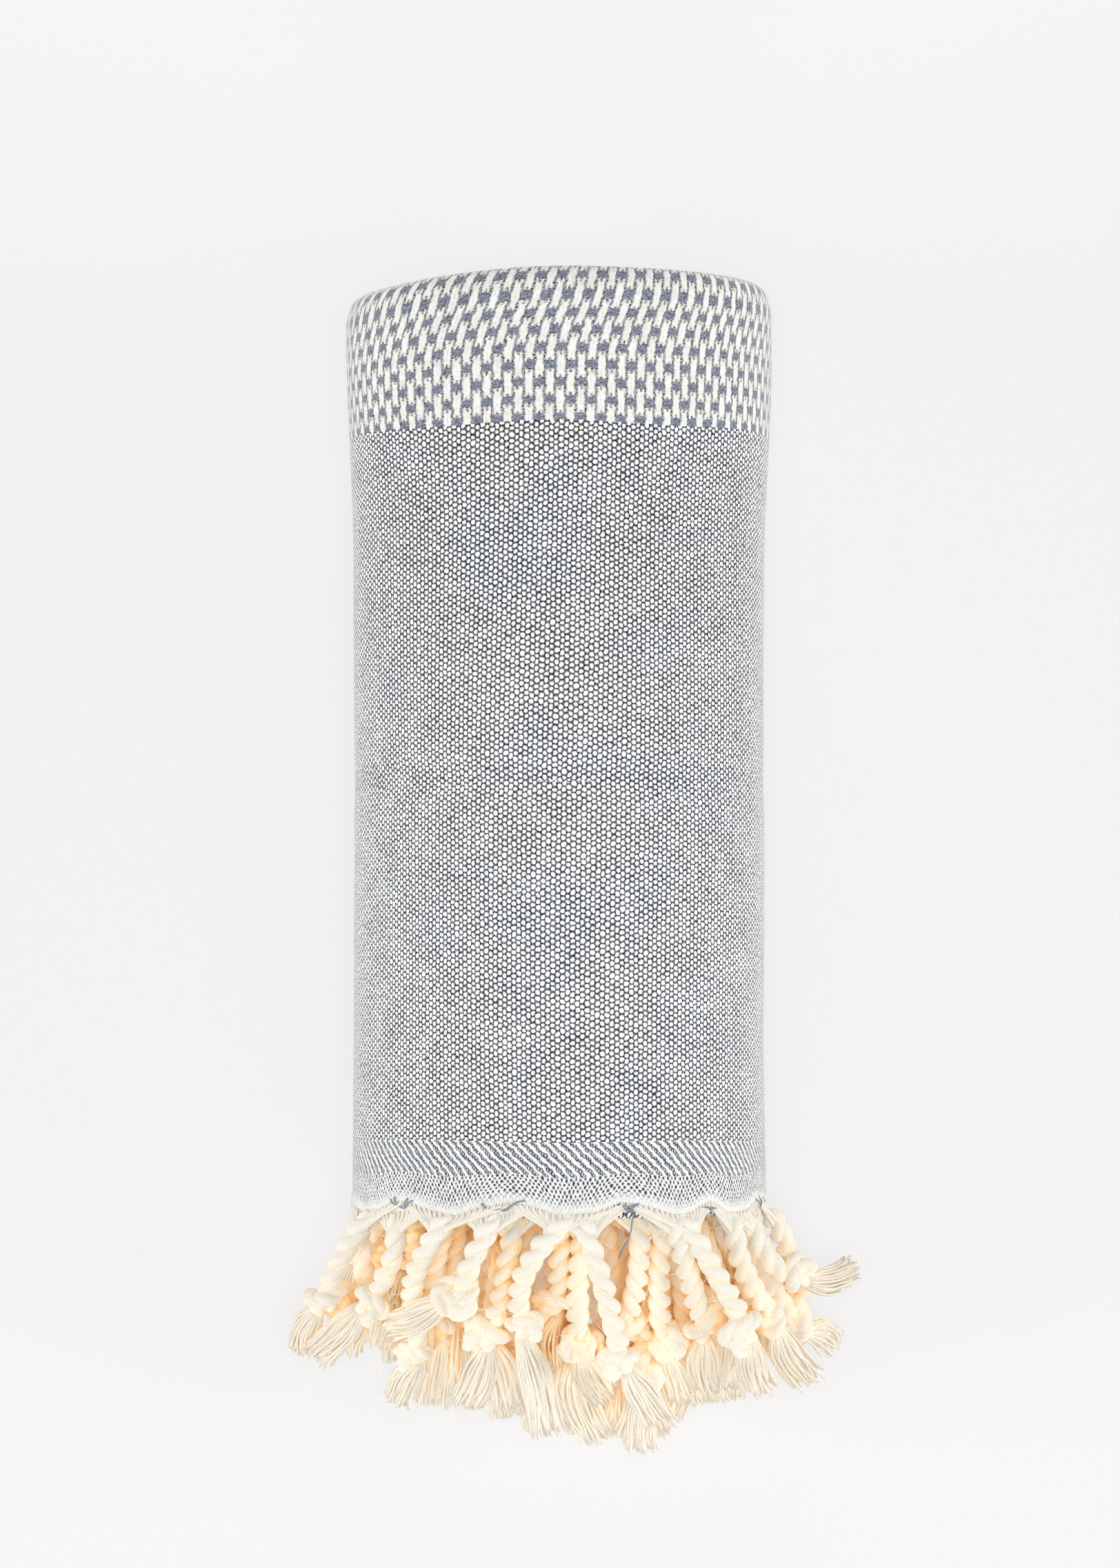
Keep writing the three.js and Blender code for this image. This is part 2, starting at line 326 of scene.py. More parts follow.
def meshObject(name, points, faces, uvName, uv):  # points in millimetres, a uv for each face corner
    mesh = bpy.data.meshes.new(name)
    mesh.from_pydata((points * mm).tolist(), [], faces)
    mesh.uv_layers.new(name=uvName).data.foreach_set("uv", uv.ravel())
    made = bpy.data.objects.new(name, mesh)
    bpy.context.collection.objects.link(made)
    return made


def keepShare(piece, name, values):  # one value a point, for the material to read
    piece.data.attributes.new(name, "FLOAT", "POINT").data.foreach_set("value", values.ravel())


def towelCloth():
    offset, along, used, place = sheetColumns().T
    outerTurn = np.arange(0, 372, roll["outerStep"])
    innerTurns = np.arange(372, roll["windingAngle"] + 1, roll["innerStep"])
    backs = np.concatenate([outerTurn, innerTurns])[:, None]
    length = np.interp(backs, fineBack, outerLength)
    points = clothPoints(backs, length, offset, along, used, place)
    u, v, selvedge = threadPlaces(length, along, used)
    index = np.arange(u.size).reshape(u.shape)
    quads = np.stack([index[:-1, :-1], index[1:, :-1], index[1:, 1:], index[:-1, 1:]], -1).reshape(-1, 4)
    uv = np.stack([u, v], -1).reshape(-1, 2)[quads.ravel()]
    bpy.ops.object.select_all(action="DESELECT")
    cloth = meshObject("towelCloth", points.reshape(-1, 3), quads.tolist(), "threads", uv)
    keepShare(cloth, "selvedge", selvedge)
    bpy.context.view_layer.objects.active = cloth
    cloth.select_set(True)
    solidify = cloth.modifiers.new("thickness", "SOLIDIFY")
    solidify.thickness = roll["clothThickness"] * mm
    solidify.offset = 0
    bpy.ops.object.modifier_apply(modifier=solidify.name)
    bpy.ops.object.shade_smooth_by_angle(angle=math.radians(50))
    return cloth


towelPiece = towelCloth()
print("towel cloth:", len(towelPiece.data.polygons), "faces")

# sizes of the weave's cells in millimetres: a float or a hole in each, a pair of warps in the check's
weave = {
    "plainPitch": 1.19, "plainPeriod": 1.435, "plainFloat": (0.455, 0.38),
    "hemPitch": 0.61, "hemPeriod": 1.72, "hemHole": (0.52, 0.265),
    "twillPitch": 2.38, "twillRise": 2.3, "speckPitch": 0.595, "speckPeriod": 0.90, "speckSize": (0.5, 0.5),
    "checkPitch": 2.49, "checkPeriod": 8.1, "checkReach": 1.25,
    # where each band ends, counted from either end of the cloth
    "hemTop": 8.2, "twillTop": 16.3, "checkStart": 188.2, "checkEnd": 308,
    # half widths of the long float and of the slit in it, up one repeat
    "checkBody": (
        (0.0, 0.0), (0.185, 0.0), (0.20, 0.50), (0.225, 0.76), (0.27, 0.83), (0.34, 0.77), (0.41, 0.745),
        (0.50, 0.83), (0.60, 0.88), (0.70, 0.83), (0.79, 0.745), (0.84, 0.76), (0.90, 0.84), (0.94, 0.82),
        (0.97, 0.66), (0.99, 0.0)),
    "checkSlit": (
        (0.195, 0.90), (0.225, 0.54), (0.26, 0.50), (0.29, 0.33), (0.31, 0.0), (0.86, 0.0), (0.88, 0.45),
        (0.91, 0.51), (0.94, 0.44), (0.96, 0.54), (0.985, 0.90)),
    "wander": (0.5, 0.6, 0.0), "streaks": (7.0, 1.2, 1.0), "relief": 0.2 * mm, "checkRelief": 0.3 * mm,
    # "line" holds the net's cool and warm colours, the near-black of painted shade in its deepest hollows and
    # a pale one; "hemLine" darkens to the painted shade of the hem's holes, and the dark "gap" colour also
    # serves as painted shade beside the check's floats
    "slate": ("#535868", "#9CA4B3"), "gap": ("#2A252E", "#B4B2B5"), "cream": ("#EAEAE3", "#FEFEFC"),
    "line": ("#6F7484", "#78767A", "#131015", "#B4BCC6"), "hemLine": ("#747A8B", "#1E1A22"),
}
clothLength = float(sheetColumns()[-1][2])


def cell(add, across, up, pitch, period):
    # place in the thread's cell from -0.5 to 0.5, its column and how many rows up; columns are staggered
    columns = add("DIVIDE", [across, pitch])
    column = add("FLOOR", [columns])
    rows = add("MULTIPLY_ADD", [column, 0.5, add("DIVIDE", [up, period])])
    place = [add("SUBTRACT", [add("FRACT", [part]), 0.5]) for part in (columns, rows)]
    return place, column, rows


def chance(add, column, rows):  # a cell's own random value
    return add("TexWhiteNoise 2D", {"Vector": add("CombineXYZ", [column, add("FLOOR", [rows])])})


def away(add, place, size, power):  # how far a point is from the middle of its cell, 1 at the float's edge
    sides = [add("DIVIDE", [add("ABSOLUTE", [part]), half]) for part, half in zip(place, size)]
    return add("ADD", [add("POWER", [side, power]) for side in sides])


def fromHalf(add, value):  # 0 halfway through each whole step, 0.5 at its ends
    return add("ABSOLUTE", [add("SUBTRACT", [add("FRACT", [value]), 0.5])])


# the bands: each gives its share of cream, its height and its painted shade in the hollows
def plainBand(add, uv, across, along, nearEnd, speck):
    # round cream floats in a net of thin grey lines, with painted shade darkest in the hollows where three
    # meet
    uneven = add("TexNoise", {"Vector": uv, "Scale": 0.11, "Detail": 3.0})
    beat = add("MapRange", [uneven, 0.3, 0.7, 0.91, 1.11])  # where the weft was beaten in, floats are closer
    beat = add("ADD", [beat, add("MapRange", [nearEnd, 105.0, 160.0, 0.0, 0.09])])
    # a soft crease where the towel lay folded once more: the threads crowd together, and the floats drawn
    # smaller there paint the crease's shade as a darker line
    crease = add("SUBTRACT", [add("MULTIPLY_ADD", [uneven, 9.0, nearEnd]), 108.2])
    crease = add("MapRange SMOOTHSTEP", [add("ABSOLUTE", [crease]), 0.0, 3.6, 0.11, 0.0])
    beat = add("ADD", [beat, crease])
    place, *number = cell(add, across, along, weave["plainPitch"], weave["plainPeriod"])
    floatChance = chance(add, *number)
    spread = add("MULTIPLY", [beat, add("MapRange", [floatChance, 0.0, 1.0, 1.09, 0.85])])
    far = add("MULTIPLY", [away(add, place, weave["plainFloat"], 2.2), spread])
    cream = add("MapRange SMOOTHSTEP", [far, 0.42, 1.22, 1.0, 0.0])
    high = add("MapRange SMOOTHSTEP", [far, -0.3, 1.5, 1.0, 0.0])
    hollowShade = add("MULTIPLY", [add("MapRange", [far, 0.9, 1.7]), add("MapRange", [speck, 0.30, 0.50])])
    return (cream, high, hollowShade), floatChance


def hemBand(add, across, along, nearEnd):
    # close cream floats, small holes between them darkened with painted shade, none in the last free warp
    # ends; painted shade also in the furrows between the warps
    place, *number = cell(add, across, along, weave["hemPitch"], weave["hemPeriod"])
    size = add("MapRange", [chance(add, *number), 0.0, 1.0, 1.8, 0.7])
    hole = add("MULTIPLY", [away(add, place, weave["hemHole"], 2.0), size])
    holeShade = add("MapRange", [hole, 0.0, 0.9, 1.0, 0.0])
    hole = add("MapRange SMOOTHSTEP", [hole, 0.2, 1.7, 1.0, 0.0])
    hole = add("MULTIPLY", [hole, add("MapRange", [nearEnd, 0.9, 3.4])])
    furrowShade = add("MapRange", [add("ABSOLUTE", [place[0]]), 0.2, 0.5, 1.0, 0.62])
    cream = add("MULTIPLY", [add("SUBTRACT", [1.0, hole]), furrowShade])
    return cream, cream, holeShade


def twillBand(add, across, along, speck):
    # cream floats in diagonals falling to the right, speckled between, with painted shade in the hollows
    # between the specks
    rise = add("DIVIDE", [along, weave["twillRise"]])
    diagonal = add("SUBTRACT", [add("DIVIDE", [across, weave["twillPitch"]]), rise])
    link = fromHalf(add, add("DIVIDE", [across, weave["plainPitch"]]))
    beside = add("MULTIPLY_ADD", [link, 0.2, fromHalf(add, diagonal)])
    stripe = add("MapRange SMOOTHSTEP", [beside, 0.17, 0.36, 1.0, 0.0])
    place, *number = cell(add, across, along, weave["speckPitch"], weave["speckPeriod"])
    size = add("MapRange", [chance(add, *number), 0.0, 1.0, 1.6, 0.75])
    dot = add("MULTIPLY", [away(add, place, weave["speckSize"], 2.0), size])
    specks = add("MapRange SMOOTHSTEP", [dot, 0.0, 0.75, 0.68, 0.0])
    hollowShade = add("MapRange", [speck, 0.32, 0.56, 0.35, 1.0])
    hollowShade = add("MULTIPLY", [add("MapRange", [dot, 0.6, 1.5]), hollowShade])
    return add("MAXIMUM", [stripe, specks]), add("ADD", [stripe, specks]), hollowShade


def checkBand(add, across, nearEnd, speck):
    # up from a slate block: a pair of warps starts as two tips, swells as one body, ends in two prongs
    fromStart = add("SUBTRACT", [nearEnd, weave["checkStart"]])
    (sideways, upward), *_ = cell(add, across, fromStart, weave["checkPitch"], weave["checkPeriod"])
    up = add("ADD", [upward, 0.5])
    body, slit = (add("ValToRGB", [up], stops=weave[part]) for part in ("checkBody", "checkSlit"))
    sideways = add("MULTIPLY", [add("ABSOLUTE", [sideways]), weave["checkPitch"]])
    fromOutside = add("SUBTRACT", [add("MULTIPLY", [body, weave["checkReach"]]), sideways])
    fromMiddle = add("SUBTRACT", [add("ADD", [sideways, 0.3]), slit])
    inside = add("MINIMUM", [fromOutside, fromMiddle])
    inside = add("ADD", [inside, add("MapRange", [speck, 0.3, 0.7, -0.16, 0.12])])  # loose fibres
    cream = add("MapRange SMOOTHSTEP", [inside, -0.10, 0.14])
    high = add("MapRange SMOOTHSTEP", [inside, -0.12, 0.6, 0.05, 1.0])
    blocks = add("FRACT", [add("MULTIPLY_ADD", [up, 2.0, 0.02])])
    blocks = add("ABSOLUTE", [add("SUBTRACT", [blocks, 0.21])])
    blocks = add("MapRange SMOOTHSTEP", [blocks, 0.16, 0.205, 1.0, 0.0])
    return (cream, high, 0.0), inside, blocks


def netColour(add, uv, speck, hollowShade, inHem):  # the thin lines between the floats, warmer and cooler in patches
    cool, warm, shadeBlack, pale = weave["line"]
    cloud = add("TexNoise 2D", {"Vector": uv, "Scale": 0.035, "Detail": 2.0})
    line = add("Mix RGBA", [add("MapRange", [cloud, 0.38, 0.62]), cool, warm])
    # painted shade: the lines darken to near-black in the deepest hollows, where three floats meet
    line = add("Mix RGBA", [hollowShade, line, shadeBlack])
    line = add("Mix RGBA", [add("MapRange", [speck, 0.55, 0.68, 0.0, 0.35]), line, pale])
    hemLine = add("Mix RGBA", [hollowShade, *weave["hemLine"]])
    return add("Mix RGBA", [inHem, line, hemLine])


def checkGround(add, uv, across, along, inside, blocks):
    # the slate weft's slanting fibres in the blocks, dark flecks beside the floats
    fleck = add("MapRange", [add("TexNoise 2D", {"Vector": uv, "Scale": 2.8, "Detail": 0.0}), 0.36, 0.56])
    slant = add("MULTIPLY", [add("MULTIPLY_ADD", [across, 0.3, along]), 4.5])
    fibre = add("TexNoise 2D", {"Vector": add("CombineXYZ", [across, slant]), "Scale": 1.0, "Detail": 2.0})
    # painted shade: next to the raised floats the slate is drawn darker, towards the dark gap colour
    shaded = add("MapRange", [inside, -0.6, -0.05, 0.0, 0.95])
    shaded = add("MULTIPLY", [shaded, add("SUBTRACT", [1.0, fleck])])
    slate = add("Mix RGBA", [add("MapRange", [fibre, 0.36, 0.64]), *weave["slate"]])
    slate = add("Mix RGBA", [shaded, slate, weave["gap"][0]])
    return slate, add("Mix RGBA", [fleck, *weave["gap"]])


# woven cotton, cream warp over slate weft: matte, its floats standing up from hollows darkened with painted
# shade
def wovenCotton():
    material, add = newMaterial("wovenCotton")
    uv = add("UVMap", uv_map="threads")
    # the threads wander a little, so no float is quite like the next
    wander = add("TexNoise 2D", {"Vector": uv, "Scale": 0.6, "Detail": 0.0})
    moved = add("VectorMath MULTIPLY_ADD", [wander.outputs["Color"], weave["wander"], uv])
    across, along, _ = add("SeparateXYZ", [moved]).outputs
    nearEnd = add("MINIMUM", [along, add("SUBTRACT", [clothLength, along])])
    speck = add("TexNoise 2D", {"Vector": uv, "Scale": 1.3, "Detail": 1.0})
    plain, floatChance = plainBand(add, uv, across, along, nearEnd, speck)
    check, inside, blocks = checkBand(add, across, nearEnd, speck)
    twill = twillBand(add, across, along, speck)

    # which band a thread is in, counted from both ends of the cloth
    cream, high, hollowShade = plain
    for limit, band in (("checkEnd", check), ("checkStart", plain), ("twillTop", twill),
                        ("hemTop", hemBand(add, across, along, nearEnd))):
        within = add("LESS_THAN", [nearEnd, weave[limit]])
        cream, high, hollowShade = (add("Mix", [within, was, now]) for was, now in zip((cream, high, hollowShade), band))
    inHem = add("LESS_THAN", [nearEnd, weave["twillTop"]])
    beyond = add("GREATER_THAN", [nearEnd, weave["checkStart"]])
    inCheck = add("MULTIPLY", [add("LESS_THAN", [nearEnd, weave["checkEnd"]]), beyond])

    # fine streaks along each cream warp, each float a little lighter or darker than the next
    warpPlace = add("VectorMath MULTIPLY", [uv, weave["streaks"]])
    warpFibre = add("TexNoise 2D", {"Vector": warpPlace, "Scale": 1.0, "Detail": 2.0})
    bright = add("MULTIPLY_ADD", [warpFibre, 0.5, add("MULTIPLY", [floatChance, 0.5])])
    white = add("Mix RGBA", [bright, *weave["cream"]])
    # painted shade: the check's floats are drawn darker towards their edges, where they curve down into the
    # hollows
    edgeShade = add("MapRange SMOOTHSTEP", [inside, -0.05, 0.5, 0.72, 0.97])
    white = add("Mix RGBA", [1.0, white, add("Mix", [inCheck, 1.0, edgeShade])], blend_type="MULTIPLY")
    slate, gap = checkGround(add, uv, across, along, inside, blocks)
    ground = add("Mix RGBA", [inCheck, netColour(add, uv, speck, hollowShade, inHem), gap])
    ground = add("Mix RGBA", [add("MULTIPLY", [inCheck, blocks]), ground, slate])
    # the selvedge of the loose edge: close warp alone, the weft hardly seen
    selvedge = add("Attribute", attribute_name="selvedge").outputs["Fac"]
    cream = add("Mix", [selvedge, cream, add("MapRange", [warpFibre, 0.35, 0.6, 0.55, 1.0])])
    relief = add("MULTIPLY_ADD", [warpFibre, 0.12, high])
    depth = add("MULTIPLY_ADD", [inCheck, weave["checkRelief"], weave["relief"]])
    add("OutputMaterial", [add("BsdfPrincipled", {
        "Base Color": add("Mix RGBA", [cream, ground, white]), "Roughness": 0.92, "Specular IOR Level": 0.2,
        "Normal": add("Bump", {"Strength": 0.6, "Distance": depth, "Height": relief}),
        "Sheen Weight": 0.55, "Sheen Roughness": 0.35,
    })])
    return material


towelPiece.data.materials.append(wovenCotton())
print("cloth material made")

# warp ends gathered, twisted in two plies, tied in an overhand knot and left as a brush
fringe = {
    "chainPoints": 16, "knotPoint": 9, "rounds": 90,
    "rootBall": 1.6, "cordBall": 2.7, "knotBalls": (3.6, 4.4, 3.6), "tailBall": 3.1, "ballGap": 0.92,
    "plyRadius": 1.62, "plyTurn": 1.2, "twistPitch": 10.5, "cordRings": 75,
    "knotCord": 2.5, "knotPly": 1.34, "knotTurn": 0.62, "knotHalf": 2.0,
    "tailYarns": 80, "tailYarnRadius": 0.43, "tailHalfWidth": 4.1, "tailHalfDepth": 2.4, "tailRings": 10,
    "tailSway": 1.5, "tailRipple": 0.30, "tailWander": (1.4, 0.7), "shortShare": 0.08,
    "fanYarns": 38, "fanYarnRadius": 0.52, "fanReach": 5.6, "fanRings": 8,
    "plySides": 8, "tailSides": 3, "yarnSides": 4, "linePitch": 0.7, "leftTwistEvery": 4, "seed": 11,
}
fullTurn = 6.28
dice = np.random.default_rng(fringe["seed"])


def scatter(number, salt):
    value = np.sin(number * 12.9898 + salt * 78.233) * 43758.5453
    return 2 * (value - np.floor(value)) - 1


def buriedPlace(end, number, root):  # the other tassels lie under the laid ones, none past the heap's edge
    salt = len(end) + (end == "inner")
    spread = root[0] * (1 + tassels["sideSpread"])
    tipX = spread + 6 * scatter(number, salt + 1)
    drawnIn = 10 * easeIn(abs(tipX - 8), 12, 26) + 12 * easeIn(abs(tipX), 38, 62) + 11 * easeIn(-tipX, 32, 44)
    tipOut = tassels["tipReach"] - drawnIn - 2.5 + 3.5 * scatter(number, salt + 2)
    return {
        "knotX": spread + 4 * scatter(number, salt + 3), "tipX": tipX, "tipOut": tipOut,
        "knotOut": tipOut - tassels["tailReach"] + 4 * scatter(number, salt + 4),
        "bow": 4 * scatter(number, salt + 5), "lift": -4,
    }


def tasselStart(end, number):  # the chain of points of one tassel before it settles against the others
    back, laid = rootAngle(end, number)
    root = rollPoint(back, endOffset[end], fringeEnd)
    place = laid or buriedPlace(end, number, root)
    knotZ = root[2] * (1 - tassels["knotFall"]) + place["lift"]
    tipZ = root[2] * (1 - tassels["tipFall"]) + place["lift"]
    knotPoint, count = fringe["knotPoint"], fringe["chainPoints"]
    points = []
    for i in range(count):
        if i <= knotPoint:
            share = i / knotPoint
            x = root[0] + (place["knotX"] - root[0]) * share + place["bow"] * math.sin(math.pi * share)
            out = 1.0 + (place["knotOut"] - 1.0) * share
            z = root[2] + (knotZ - root[2]) * share ** 1.5
        else:
            share = (i - knotPoint) / (count - 1 - knotPoint)
            x = place["knotX"] + (place["tipX"] - place["knotX"]) * share
            out = place["knotOut"] + (place["tipOut"] - place["knotOut"]) * share
            z = knotZ + (tipZ - knotZ) * share
        points.append((x, fringeEnd - out, max(z, tassels["lowest"])))
    return np.array(points), back, laid is not None


def ballRadii():
    knotPoint = fringe["knotPoint"]
    radius = np.full(fringe["chainPoints"], fringe["cordBall"])
    radius[knotPoint - 1:knotPoint + 2] = fringe["knotBalls"]
    radius[knotPoint + 2:] = fringe["tailBall"]
    radius[:2] = fringe["rootBall"]
    return radius


def settledTassels():
    # chains of balls that push each other apart, keep their length and are drawn to where they were laid
    rows = [(end, *tasselStart(end, number)) for end in endOffset for number in range(tassels["perEnd"])]
    chains = np.array([row[1] for row in rows])
    held = np.array([row[3] for row in rows])
    count, perChain = chains.shape[:2]
    steps = np.linalg.norm(np.diff(chains, axis=1), axis=2)
    radius = np.tile(ballRadii(), count)
    chainOf = np.repeat(np.arange(count), perChain)
    sameChain = chainOf[:, None] == chainOf[None]
    reach = (radius[:, None] + radius[None]) * fringe["ballGap"]
    yields = np.where(held, 0.3, 1.0)[:, None] * np.ones(perChain)
    yields[:, :2] = 0
    yields = yields.ravel()
    start = chains.reshape(-1, 3).copy()
    points = start.copy()
    for _ in range(fringe["rounds"]):
        gap = points[:, None] - points[None]
        distance = np.linalg.norm(gap, axis=2) + 1e-6
        push = np.where(~sameChain & (distance < reach), (reach - distance) / distance, 0)
        share = yields[:, None] / (yields[:, None] + yields[None] + 1e-6)
        points = points + 0.4 * (gap * (push * share)[..., None]).sum(1)
        points = points + (start - points) * np.where(yields < 0.5, 0.10, 0.02)[:, None]
        line = points.reshape(count, perChain, 3)
        for i in range(perChain - 1):
            leg = line[:, i + 1] - line[:, i]
            size = np.linalg.norm(leg, axis=1, keepdims=True)
            line[:, i + 1] = line[:, i] + leg * (steps[:, i:i + 1] * 0.6 + size * 0.4) / size
        bend = line[:, :-2] + line[:, 2:] - 2 * line[:, 1:-1]
        line[:, 1:-1] += 0.15 * bend * (yields.reshape(count, perChain)[:, 1:-1, None] > 0)
        line[:, 2:, 1] = np.minimum(line[:, 2:, 1], fringeEnd - 2.4)
        points = line.reshape(-1, 3)
        points[:, 2] = np.maximum(points[:, 2], np.minimum(radius, 3.2))
    return rows, points.reshape(count, perChain, 3)


def openTrefoil(count):  # a loose overhand knot, its ends led away, ready to be pulled tight
    t = np.linspace(-2.12, 2.12, count)
    turns = np.array([-2.12, -1.932, -1.732, -0.518, 0.518, 1.732, 1.932, 2.12])
    lifts = np.array([0.3, 1, -1, 1, -1, 1, -1, -0.3])
    order = np.interp(t, turns, np.arange(len(turns)))
    low = np.floor(order).astype(int).clip(0, len(turns) - 2)
    height = lifts[low] + (lifts[low + 1] - lifts[low]) * easeIn(order - low, 0, 1)
    return 0.9 * np.stack([3 * t - t ** 3, t ** 4 - 4 * t ** 2 + 2, 0.9 * height], 1)


def tiedKnot(count=84, rounds=520, span=12.2, reach=3.2):  # a cord of thickness 1, knotted and pulled along x
    path = openTrefoil(count)
    step = (span + 2 * reach) / (count - 1)
    index = np.arange(count)
    farApart = np.abs(index[:, None] - index[None]) * step > 1.45
    for i in range(rounds):
        pull = 1.6 + (reach - 0.6) * min(1, i / (rounds * 0.6))
        for k in range(4):
            path[k] += (np.array([k * step - pull, 0, 0]) - path[k]) * 0.5
            path[-1 - k] += (np.array([pull - k * step, 0, 0]) - path[-1 - k]) * 0.5
        for _ in range(6):
            for first in (0, 1):
                pairs = (count - first) // 2
                a, b = path[first:first + 2 * pairs:2], path[first + 1:first + 1 + 2 * pairs:2]
                leg = b - a
                size = np.maximum(np.linalg.norm(leg, axis=1, keepdims=True), 1e-6)
                fix = leg * (0.5 * (1 - step / size))
                path[first:first + 2 * pairs:2] += fix
                path[first + 1:first + 1 + 2 * pairs:2] -= fix
            gap = path[:, None] - path[None]
            distance = np.linalg.norm(gap, axis=2) + 1e-9
            push = np.where(farApart & (distance < 1), (1 - distance) / distance * 0.35, 0)
            path += (gap * push[..., None]).sum(1)
        path[1:-1] += 0.12 * (path[:-2] + path[2:] - 2 * path[1:-1])
    return path


def unit(vectors):
    return vectors / np.maximum(np.linalg.norm(vectors, axis=-1, keepdims=True), 1e-9)


def framesAlong(paths):  # a heading and two sideways directions at each point, carried along without twist
    heading = unit(np.gradient(paths, axis=1))
    aside = np.empty_like(paths)
    start = np.where(np.abs(heading[:, 0, 2:3]) < 0.9, (0.0, 0.0, 1.0), (1.0, 0.0, 0.0))
    aside[:, 0] = unit(np.cross(heading[:, 0], start))
    for i in range(1, paths.shape[1]):
        flat = aside[:, i - 1] - heading[:, i] * (aside[:, i - 1] * heading[:, i]).sum(-1, keepdims=True)
        aside[:, i] = unit(flat)
    return heading, aside, np.cross(heading, aside)


def lengthsAlong(paths):
    steps = np.linalg.norm(np.diff(paths, axis=1), axis=2)
    return np.concatenate([np.zeros((len(paths), 1)), np.cumsum(steps, axis=1)], axis=1)


def smoothPaths(nodes):  # a smooth curve through each chain's points
    before, after = 2 * nodes[:, :1] - nodes[:, 1:2], 2 * nodes[:, -1:] - nodes[:, -2:-1]
    padded = np.concatenate([before, nodes, after], axis=1)
    t = np.linspace(0, nodes.shape[1] - 1, 8 * nodes.shape[1])
    i = np.minimum(t.astype(int), nodes.shape[1] - 2)
    f = (t - i)[None, :, None]
    a, b, c, d = (padded[:, i + k] for k in range(4))
    square, cube = 2 * a - 5 * b + 4 * c - d, 3 * b - a - 3 * c + d
    return 0.5 * (2 * b + (c - a) * f + square * f ** 2 + cube * f ** 3)


def pointsAt(wanted, places, path):
    return np.stack([np.interp(wanted, places, path[:, k]) for k in range(3)], -1)


def sampled(paths, wanted):  # points at the wanted lengths along each path
    return np.array([pointsAt(w, along, path) for path, along, w in zip(paths, lengthsAlong(paths), wanted)])


def tubes(paths, radii, sides, lineTurns, linePitch):
    # points, faces and thread coordinates of round tubes, closed at both ends by a last small ring
    _, aside, upward = framesAlong(paths)
    count, rings = paths.shape[:2]
    angle = np.linspace(0, 2 * np.pi, sides, endpoint=False)
    ring = aside[:, :, None] * np.cos(angle)[:, None] + upward[:, :, None] * np.sin(angle)[:, None]
    points = paths[:, :, None] + ring * radii[:, :, None, None]
    index = np.arange(count * rings * sides).reshape(count, rings, sides)
    after = np.roll(index, -1, axis=2)
    quads = np.stack([index[:, :-1], after[:, :-1], after[:, 1:], index[:, 1:]], -1).reshape(-1, 4)
    lids = np.concatenate([index[:, 0, ::-1], index[:, -1]])
    u = np.arange(sides + 1) / sides * lineTurns
    v = lengthsAlong(paths) / linePitch
    u0, u1 = (np.broadcast_to(side, (count, rings - 1, sides)) for side in (u[:-1], u[1:]))
    v0, v1 = (np.broadcast_to(end[..., None], u0.shape) for end in (v[:, :-1], v[:, 1:]))
    corners = np.stack([u0, v0, u1, v0, u1, v1, u0, v1], -1).reshape(-1, 2)
    return points.reshape(-1, 3), quads, lids, corners


def knottedLines(paths, lastCord, afterKnot, knotScale):  # each cord's middle line, then its knot
    knot = tiedKnot()
    knot = knot[np.abs(knot[:, 0]) < fringe["knotHalf"]]
    count = len(paths)
    cordLine = sampled(paths, [np.linspace(0, last, fringe["cordRings"] + 1)[:-1] for last in lastCord])
    start, end = (sampled(paths, at[:, None])[:, 0] for at in (lastCord, afterKnot))
    heading = unit(end - start)
    lean = dice.uniform(-0.7, 0.7, count) + np.where(dice.uniform(0, 1, count) < 0.5, np.pi, 0)
    side = unit(np.cross(np.array([0, 0, 1.0]), heading))
    up = np.cross(heading, side)
    wide = side * np.cos(lean)[:, None] + up * np.sin(lean)[:, None]
    tall = np.cross(heading, wide)
    stretch = np.linalg.norm(end - start, axis=1) / (2 * fringe["knotHalf"])
    across = fringe["knotCord"] * knotScale
    mirror = np.where(dice.uniform(0, 1, count) < 0.5, -1.0, 1.0)
    knotLine = ((start + end) / 2)[:, None]
    for k, (way, size) in enumerate(((heading, stretch), (wide, across * mirror), (tall, across))):
        knotLine = knotLine + way[:, None] * (knot[None, :, k:k + 1] * size[:, None, None])
    return np.concatenate([cordLine, knotLine], axis=1)


def twistedPlies(line, lastCord, knotScale):  # two plies wound round each line, closer together in the knot
    count = len(line)
    _, aside, upward = framesAlong(line)
    along = lengthsAlong(line)
    inKnot = easeIn(along, lastCord[:, None] - 1.5, lastCord[:, None] + 1.5)
    opening = easeIn(along, 0, 4.0)
    turn = fringe["plyTurn"] * (1 - inKnot) + fringe["knotTurn"] * inKnot
    turn = turn * (0.45 + 0.55 * opening)
    radii = fringe["plyRadius"] * (1 - inKnot) + fringe["knotPly"] * knotScale[:, None] * inKnot
    radii = radii * (0.4 + 0.6 * opening)
    radii = radii * (1 + 0.05 * np.sin(along * 1.3 + np.arange(count)[:, None]))
    pitch = fringe["twistPitch"] * (1 - 0.3 * inKnot)
    handed = np.where(np.arange(count) % fringe["leftTwistEvery"] == 1, -1.0, 1.0)[:, None]
    steps = np.diff(along, axis=1, prepend=0)
    angle = handed * np.cumsum(2 * np.pi * steps / pitch, axis=1) + dice.uniform(0, fullTurn, count)[:, None]
    plies = [
        line + turn[..., None] * (aside * np.cos(a)[..., None] + upward * np.sin(a)[..., None])
        for a in (angle, angle + np.pi)
    ]
    return np.stack(plies, 1), np.stack([radii, radii], 1)  # tassel, ply, point


